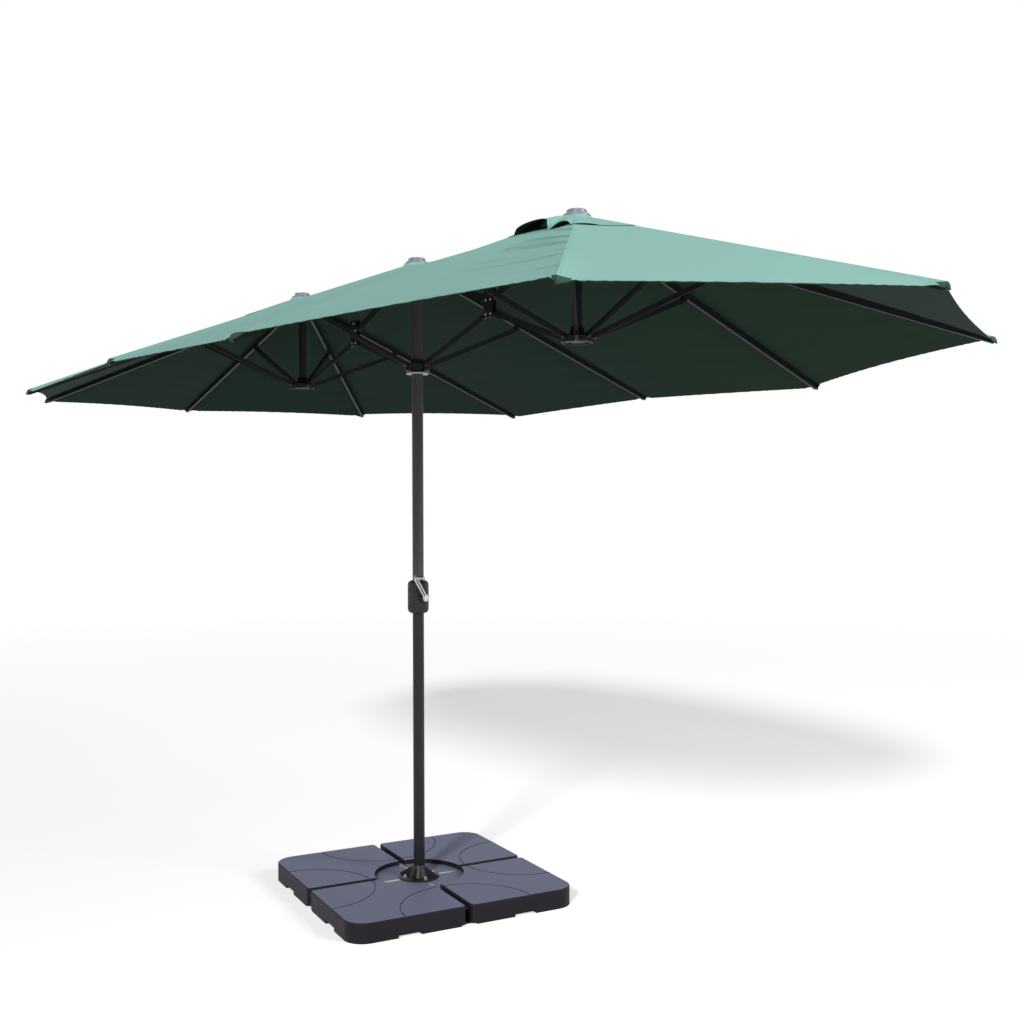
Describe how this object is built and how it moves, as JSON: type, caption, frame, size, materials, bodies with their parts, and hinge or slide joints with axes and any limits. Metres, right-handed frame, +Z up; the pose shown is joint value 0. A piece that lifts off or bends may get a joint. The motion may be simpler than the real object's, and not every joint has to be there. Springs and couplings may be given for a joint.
{
  "type": "double-ended patio umbrella with base",
  "caption": "Oblong patio umbrella with linked hubs, vented fabric canopy, crank and a weighted stand of square plates; folds down to the mast.",
  "frame": {"origin": "on the floor at the mast's axis", "axes": "+X along the long axis of the canopy, +Z up, crank on the +X side"},
  "size_m": [4.562, 2.356, 2.409],
  "materials": {
    "frame_metal": "satin dark powder coat",
    "black_plastic": "matt black moulding",
    "cap_plastic": "grey moulding",
    "silver": "satin silver",
    "steel": "zinc plated",
    "plate_plastic": "matt grey moulding",
    "canopy_cloth": "woven, blue-green above and dark below"
  },
  "bodies": {
    "mast": {"cross_base": "steel", "mast_foot": "frame_metal", "fasteners": "steel", "plate_right_back": "plate_plastic", "plate_left_back": "plate_plastic", "plate_left_front": "plate_plastic", "plate_right_front": "plate_plastic", "lower_pole": "frame_metal", "upper_pole": "frame_metal", "crank_housing_front": "black_plastic", "crank_housing_back": "black_plastic", "centre_hub": "black_plastic", "centre_cap": "cap_plastic", "canopy": "canopy_cloth"},
    "runner": {"runner": "black_plastic"},
    "crank": {"crank_drum": "steel", "crank_arm": "silver"},
    "grip": {"crank_grip": "silver"},
    "middle_rib_back": {"middle_rib_back": "frame_metal"},
    "middle_strut_back": {"middle_strut_back": "frame_metal"},
    "middle_rib_front": {"middle_rib_front": "frame_metal"},
    "middle_strut_front": {"middle_strut_front": "frame_metal"},
    "right_inner_short_rib": {"right_inner_short_rib": "frame_metal"},
    "right_outer_short_rib": {"right_outer_short_rib": "frame_metal"},
    "right_inner_short_strut": {"right_inner_short_strut": "frame_metal"},
    "right_outer_short_strut": {"right_outer_short_strut": "frame_metal"},
    "right_bracket": {"right_link_bracket": "frame_metal"},
    "right_hub": {"right_hub_and_post": "frame_metal", "right_cap": "cap_plastic", "right_vent_flap": "canopy_cloth"},
    "right_lower_hub": {"right_lower_hub": "black_plastic"},
    "right_rib_back": {"right_rib_back": "frame_metal"},
    "right_strut_back": {"right_strut_back": "frame_metal"},
    "right_rib_back_corner": {"right_rib_back_corner": "frame_metal"},
    "right_strut_back_corner": {"right_strut_back_corner": "frame_metal"},
    "right_rib_end": {"right_rib_end": "frame_metal"},
    "right_strut_end": {"right_strut_end": "frame_metal"},
    "right_rib_front_corner": {"right_rib_front_corner": "frame_metal"},
    "right_strut_front_corner": {"right_strut_front_corner": "frame_metal"},
    "right_rib_front": {"right_rib_front": "frame_metal"},
    "right_strut_front": {"right_strut_front": "frame_metal"},
    "left_inner_short_rib": {"left_inner_short_rib": "frame_metal"},
    "left_outer_short_rib": {"left_outer_short_rib": "frame_metal"},
    "left_inner_short_strut": {"left_inner_short_strut": "frame_metal"},
    "left_outer_short_strut": {"left_outer_short_strut": "frame_metal"},
    "left_bracket": {"left_link_bracket": "frame_metal"},
    "left_hub": {"left_hub_and_post": "frame_metal", "left_cap": "cap_plastic", "left_vent_flap": "canopy_cloth"},
    "left_lower_hub": {"left_lower_hub": "black_plastic"},
    "left_rib_back": {"left_rib_back": "frame_metal"},
    "left_strut_back": {"left_strut_back": "frame_metal"},
    "left_rib_back_corner": {"left_rib_back_corner": "frame_metal"},
    "left_strut_back_corner": {"left_strut_back_corner": "frame_metal"},
    "left_rib_end": {"left_rib_end": "frame_metal"},
    "left_strut_end": {"left_strut_end": "frame_metal"},
    "left_rib_front_corner": {"left_rib_front_corner": "frame_metal"},
    "left_strut_front_corner": {"left_strut_front_corner": "frame_metal"},
    "left_rib_front": {"left_rib_front": "frame_metal"},
    "left_strut_front": {"left_strut_front": "frame_metal"}
  },
  "joints": [
    {"name": "runner_slide", "type": "slide", "parent": "mast", "child": "runner", "axis": [0, 0, -1], "range_m": [0, 0.56], "deforming": ["canopy", "left_vent_flap", "right_vent_flap"]},
    {"name": "middle_rib_back_hinge", "type": "hinge", "parent": "mast", "child": "middle_rib_back", "pos_m": [0, 0.038, 2.361], "axis": [-1, 0, 0], "range_deg": [0, 57.47]},
    {"name": "middle_strut_back_hinge", "type": "hinge", "parent": "middle_rib_back", "child": "middle_strut_back", "pos_m": [0, 0.47227, 2.17805], "axis": [-1, 0, 0], "range_deg": [-113.44, 0]},
    {"name": "middle_rib_front_hinge", "type": "hinge", "parent": "mast", "child": "middle_rib_front", "pos_m": [0, -0.038, 2.361], "axis": [1, 0, 0], "range_deg": [0, 57.47]},
    {"name": "middle_strut_front_hinge", "type": "hinge", "parent": "middle_rib_front", "child": "middle_strut_front", "pos_m": [0, -0.47227, 2.17805], "axis": [1, 0, 0], "range_deg": [-113.44, 0]},
    {"name": "right_inner_short_rib_hinge", "type": "hinge", "parent": "mast", "child": "right_inner_short_rib", "pos_m": [0.038, 0, 2.361], "axis": [0, 1, 0], "range_deg": [0, 55.63]},
    {"name": "right_bracket_hinge", "type": "hinge", "parent": "right_inner_short_rib", "child": "right_bracket", "pos_m": [0.4595, 0, 2.189], "axis": [0, 1, 0], "range_deg": [-55.63, 0]},
    {"name": "right_outer_short_rib_hinge", "type": "hinge", "parent": "right_bracket", "child": "right_outer_short_rib", "pos_m": [0.4875, 0, 2.189], "axis": [0, 1, 0], "range_deg": [-55.63, 0]},
    {"name": "right_hub_hinge", "type": "hinge", "parent": "right_outer_short_rib", "child": "right_hub", "pos_m": [0.909, 0, 2.361], "axis": [0, 1, 0], "range_deg": [0, 55.63]},
    {"name": "right_inner_short_strut_hinge", "type": "hinge", "parent": "right_bracket", "child": "right_inner_short_strut", "pos_m": [0.4595, 0, 2.139], "axis": [0, 1, 0], "range_deg": [-59.21, 0]},
    {"name": "right_outer_short_strut_hinge", "type": "hinge", "parent": "right_bracket", "child": "right_outer_short_strut", "pos_m": [0.4875, 0, 2.139], "axis": [0, 1, 0], "range_deg": [0, 59.21]},
    {"name": "right_lower_hub_slide", "type": "slide", "parent": "right_hub", "child": "right_lower_hub", "axis": [0, 0, -1], "range_m": [0, 0.58]},
    {"name": "right_rib_back_hinge", "type": "hinge", "parent": "right_hub", "child": "right_rib_back", "pos_m": [0.947, 0.038, 2.361], "axis": [-1, 0, 0], "range_deg": [0, 56.22]},
    {"name": "right_strut_back_hinge", "type": "hinge", "parent": "right_rib_back", "child": "right_strut_back", "pos_m": [0.947, 0.47234, 2.16696], "axis": [-1, 0, 0], "range_deg": [-113.21, 0]},
    {"name": "right_rib_back_corner_hinge", "type": "hinge", "parent": "right_hub", "child": "right_rib_back_corner", "pos_m": [0.97528, 0.02538, 2.361], "axis": [-0.6678, 0.7443, 0], "range_deg": [0, 59.59]},
    {"name": "right_strut_back_corner_hinge", "type": "hinge", "parent": "right_rib_back_corner", "child": "right_strut_back_corner", "pos_m": [1.29804, 0.31497, 2.19667], "axis": [-0.6678, 0.7443, 0], "range_deg": [-113.85, 0]},
    {"name": "right_rib_end_hinge", "type": "hinge", "parent": "right_hub", "child": "right_rib_end", "pos_m": [0.985, 0, 2.361], "axis": [0, 1, 0], "range_deg": [0, 61.29]},
    {"name": "right_strut_end_hinge", "type": "hinge", "parent": "right_rib_end", "child": "right_strut_end", "pos_m": [1.41765, 0, 2.2113], "axis": [0, 1, 0], "range_deg": [-114.22, 0]},
    {"name": "right_rib_front_corner_hinge", "type": "hinge", "parent": "right_hub", "child": "right_rib_front_corner", "pos_m": [0.97528, -0.02538, 2.361], "axis": [0.6678, 0.7443, 0], "range_deg": [0, 59.59]},
    {"name": "right_strut_front_corner_hinge", "type": "hinge", "parent": "right_rib_front_corner", "child": "right_strut_front_corner", "pos_m": [1.29804, -0.31497, 2.19667], "axis": [0.6678, 0.7443, 0], "range_deg": [-113.85, 0]},
    {"name": "right_rib_front_hinge", "type": "hinge", "parent": "right_hub", "child": "right_rib_front", "pos_m": [0.947, -0.038, 2.361], "axis": [1, 0, 0], "range_deg": [0, 56.22]},
    {"name": "right_strut_front_hinge", "type": "hinge", "parent": "right_rib_front", "child": "right_strut_front", "pos_m": [0.947, -0.47234, 2.16696], "axis": [1, 0, 0], "range_deg": [-113.21, 0]},
    {"name": "left_inner_short_rib_hinge", "type": "hinge", "parent": "mast", "child": "left_inner_short_rib", "pos_m": [-0.038, 0, 2.361], "axis": [0, -1, 0], "range_deg": [0, 55.63]},
    {"name": "left_bracket_hinge", "type": "hinge", "parent": "left_inner_short_rib", "child": "left_bracket", "pos_m": [-0.4595, 0, 2.189], "axis": [0, -1, 0], "range_deg": [-55.63, 0]},
    {"name": "left_outer_short_rib_hinge", "type": "hinge", "parent": "left_bracket", "child": "left_outer_short_rib", "pos_m": [-0.4875, 0, 2.189], "axis": [0, -1, 0], "range_deg": [-55.63, 0]},
    {"name": "left_hub_hinge", "type": "hinge", "parent": "left_outer_short_rib", "child": "left_hub", "pos_m": [-0.909, 0, 2.361], "axis": [0, -1, 0], "range_deg": [0, 55.63]},
    {"name": "left_inner_short_strut_hinge", "type": "hinge", "parent": "left_bracket", "child": "left_inner_short_strut", "pos_m": [-0.4595, 0, 2.139], "axis": [0, -1, 0], "range_deg": [-59.21, 0]},
    {"name": "left_outer_short_strut_hinge", "type": "hinge", "parent": "left_bracket", "child": "left_outer_short_strut", "pos_m": [-0.4875, 0, 2.139], "axis": [0, -1, 0], "range_deg": [0, 59.21]},
    {"name": "left_lower_hub_slide", "type": "slide", "parent": "left_hub", "child": "left_lower_hub", "axis": [0, 0, -1], "range_m": [0, 0.58]},
    {"name": "left_rib_back_hinge", "type": "hinge", "parent": "left_hub", "child": "left_rib_back", "pos_m": [-0.947, 0.038, 2.361], "axis": [-1, 0, 0], "range_deg": [0, 56.22]},
    {"name": "left_strut_back_hinge", "type": "hinge", "parent": "left_rib_back", "child": "left_strut_back", "pos_m": [-0.947, 0.47234, 2.16696], "axis": [-1, 0, 0], "range_deg": [-113.21, 0]},
    {"name": "left_rib_back_corner_hinge", "type": "hinge", "parent": "left_hub", "child": "left_rib_back_corner", "pos_m": [-0.97528, 0.02538, 2.361], "axis": [-0.6678, -0.7443, 0], "range_deg": [0, 59.59]},
    {"name": "left_strut_back_corner_hinge", "type": "hinge", "parent": "left_rib_back_corner", "child": "left_strut_back_corner", "pos_m": [-1.29804, 0.31497, 2.19667], "axis": [-0.6678, -0.7443, 0], "range_deg": [-113.85, 0]},
    {"name": "left_rib_end_hinge", "type": "hinge", "parent": "left_hub", "child": "left_rib_end", "pos_m": [-0.985, 0, 2.361], "axis": [0, -1, 0], "range_deg": [0, 61.29]},
    {"name": "left_strut_end_hinge", "type": "hinge", "parent": "left_rib_end", "child": "left_strut_end", "pos_m": [-1.41765, 0, 2.2113], "axis": [0, -1, 0], "range_deg": [-114.22, 0]},
    {"name": "left_rib_front_corner_hinge", "type": "hinge", "parent": "left_hub", "child": "left_rib_front_corner", "pos_m": [-0.97528, -0.02538, 2.361], "axis": [0.6678, -0.7443, 0], "range_deg": [0, 59.59]},
    {"name": "left_strut_front_corner_hinge", "type": "hinge", "parent": "left_rib_front_corner", "child": "left_strut_front_corner", "pos_m": [-1.29804, -0.31497, 2.19667], "axis": [0.6678, -0.7443, 0], "range_deg": [-113.85, 0]},
    {"name": "left_rib_front_hinge", "type": "hinge", "parent": "left_hub", "child": "left_rib_front", "pos_m": [-0.947, -0.038, 2.361], "axis": [1, 0, 0], "range_deg": [0, 56.22]},
    {"name": "left_strut_front_hinge", "type": "hinge", "parent": "left_rib_front", "child": "left_strut_front", "pos_m": [-0.947, -0.47234, 2.16696], "axis": [1, 0, 0], "range_deg": [-113.21, 0]},
    {"name": "crank_turn", "type": "hinge", "parent": "mast", "child": "crank", "pos_m": [0, 0, 1.12], "axis": [1, 0, 0], "range_deg": [0, 2979.9]},
    {"name": "grip_spin", "type": "hinge", "parent": "crank", "child": "grip", "pos_m": [0.0483, -0.04738, 1.19886], "axis": [1, 0, 0], "continuous": true}
  ],
  "couplings": [
    {"joint": "middle_rib_back_hinge", "follows": "runner_slide", "rad_per_m": 1.7287},
    {"joint": "middle_strut_back_hinge", "follows": "runner_slide", "rad_per_m": -3.4731},
    {"joint": "middle_rib_front_hinge", "follows": "runner_slide", "rad_per_m": 1.7287},
    {"joint": "middle_strut_front_hinge", "follows": "runner_slide", "rad_per_m": -3.4731},
    {"joint": "right_inner_short_rib_hinge", "follows": "runner_slide", "rad_per_m": 1.6715},
    {"joint": "right_bracket_hinge", "follows": "runner_slide", "rad_per_m": -1.6715},
    {"joint": "right_outer_short_rib_hinge", "follows": "runner_slide", "rad_per_m": -1.6715},
    {"joint": "right_hub_hinge", "follows": "runner_slide", "rad_per_m": 1.6715},
    {"joint": "right_inner_short_strut_hinge", "follows": "runner_slide", "rad_per_m": -1.7829},
    {"joint": "right_outer_short_strut_hinge", "follows": "runner_slide", "rad_per_m": 1.7829},
    {"joint": "right_lower_hub_slide", "follows": "runner_slide", "ratio": 1},
    {"joint": "right_rib_back_hinge", "follows": "runner_slide", "rad_per_m": 1.6897},
    {"joint": "right_strut_back_hinge", "follows": "runner_slide", "rad_per_m": -3.4661},
    {"joint": "right_rib_back_corner_hinge", "follows": "runner_slide", "rad_per_m": 1.795},
    {"joint": "right_strut_back_corner_hinge", "follows": "runner_slide", "rad_per_m": -3.4861},
    {"joint": "right_rib_end_hinge", "follows": "runner_slide", "rad_per_m": 1.8479},
    {"joint": "right_strut_end_hinge", "follows": "runner_slide", "rad_per_m": -3.4975},
    {"joint": "right_rib_front_corner_hinge", "follows": "runner_slide", "rad_per_m": 1.795},
    {"joint": "right_strut_front_corner_hinge", "follows": "runner_slide", "rad_per_m": -3.4861},
    {"joint": "right_rib_front_hinge", "follows": "runner_slide", "rad_per_m": 1.6897},
    {"joint": "right_strut_front_hinge", "follows": "runner_slide", "rad_per_m": -3.4661},
    {"joint": "left_inner_short_rib_hinge", "follows": "runner_slide", "rad_per_m": 1.6715},
    {"joint": "left_bracket_hinge", "follows": "runner_slide", "rad_per_m": -1.6715},
    {"joint": "left_outer_short_rib_hinge", "follows": "runner_slide", "rad_per_m": -1.6715},
    {"joint": "left_hub_hinge", "follows": "runner_slide", "rad_per_m": 1.6715},
    {"joint": "left_inner_short_strut_hinge", "follows": "runner_slide", "rad_per_m": -1.7829},
    {"joint": "left_outer_short_strut_hinge", "follows": "runner_slide", "rad_per_m": 1.7829},
    {"joint": "left_lower_hub_slide", "follows": "runner_slide", "ratio": 1},
    {"joint": "left_rib_back_hinge", "follows": "runner_slide", "rad_per_m": 1.6897},
    {"joint": "left_strut_back_hinge", "follows": "runner_slide", "rad_per_m": -3.4661},
    {"joint": "left_rib_back_corner_hinge", "follows": "runner_slide", "rad_per_m": 1.795},
    {"joint": "left_strut_back_corner_hinge", "follows": "runner_slide", "rad_per_m": -3.4861},
    {"joint": "left_rib_end_hinge", "follows": "runner_slide", "rad_per_m": 1.8479},
    {"joint": "left_strut_end_hinge", "follows": "runner_slide", "rad_per_m": -3.4975},
    {"joint": "left_rib_front_corner_hinge", "follows": "runner_slide", "rad_per_m": 1.795},
    {"joint": "left_strut_front_corner_hinge", "follows": "runner_slide", "rad_per_m": -3.4861},
    {"joint": "left_rib_front_hinge", "follows": "runner_slide", "rad_per_m": 1.6897},
    {"joint": "left_strut_front_hinge", "follows": "runner_slide", "rad_per_m": -3.4661},
    {"joint": "crank_turn", "follows": "runner_slide", "rad_per_m": 90.909}
  ]
}
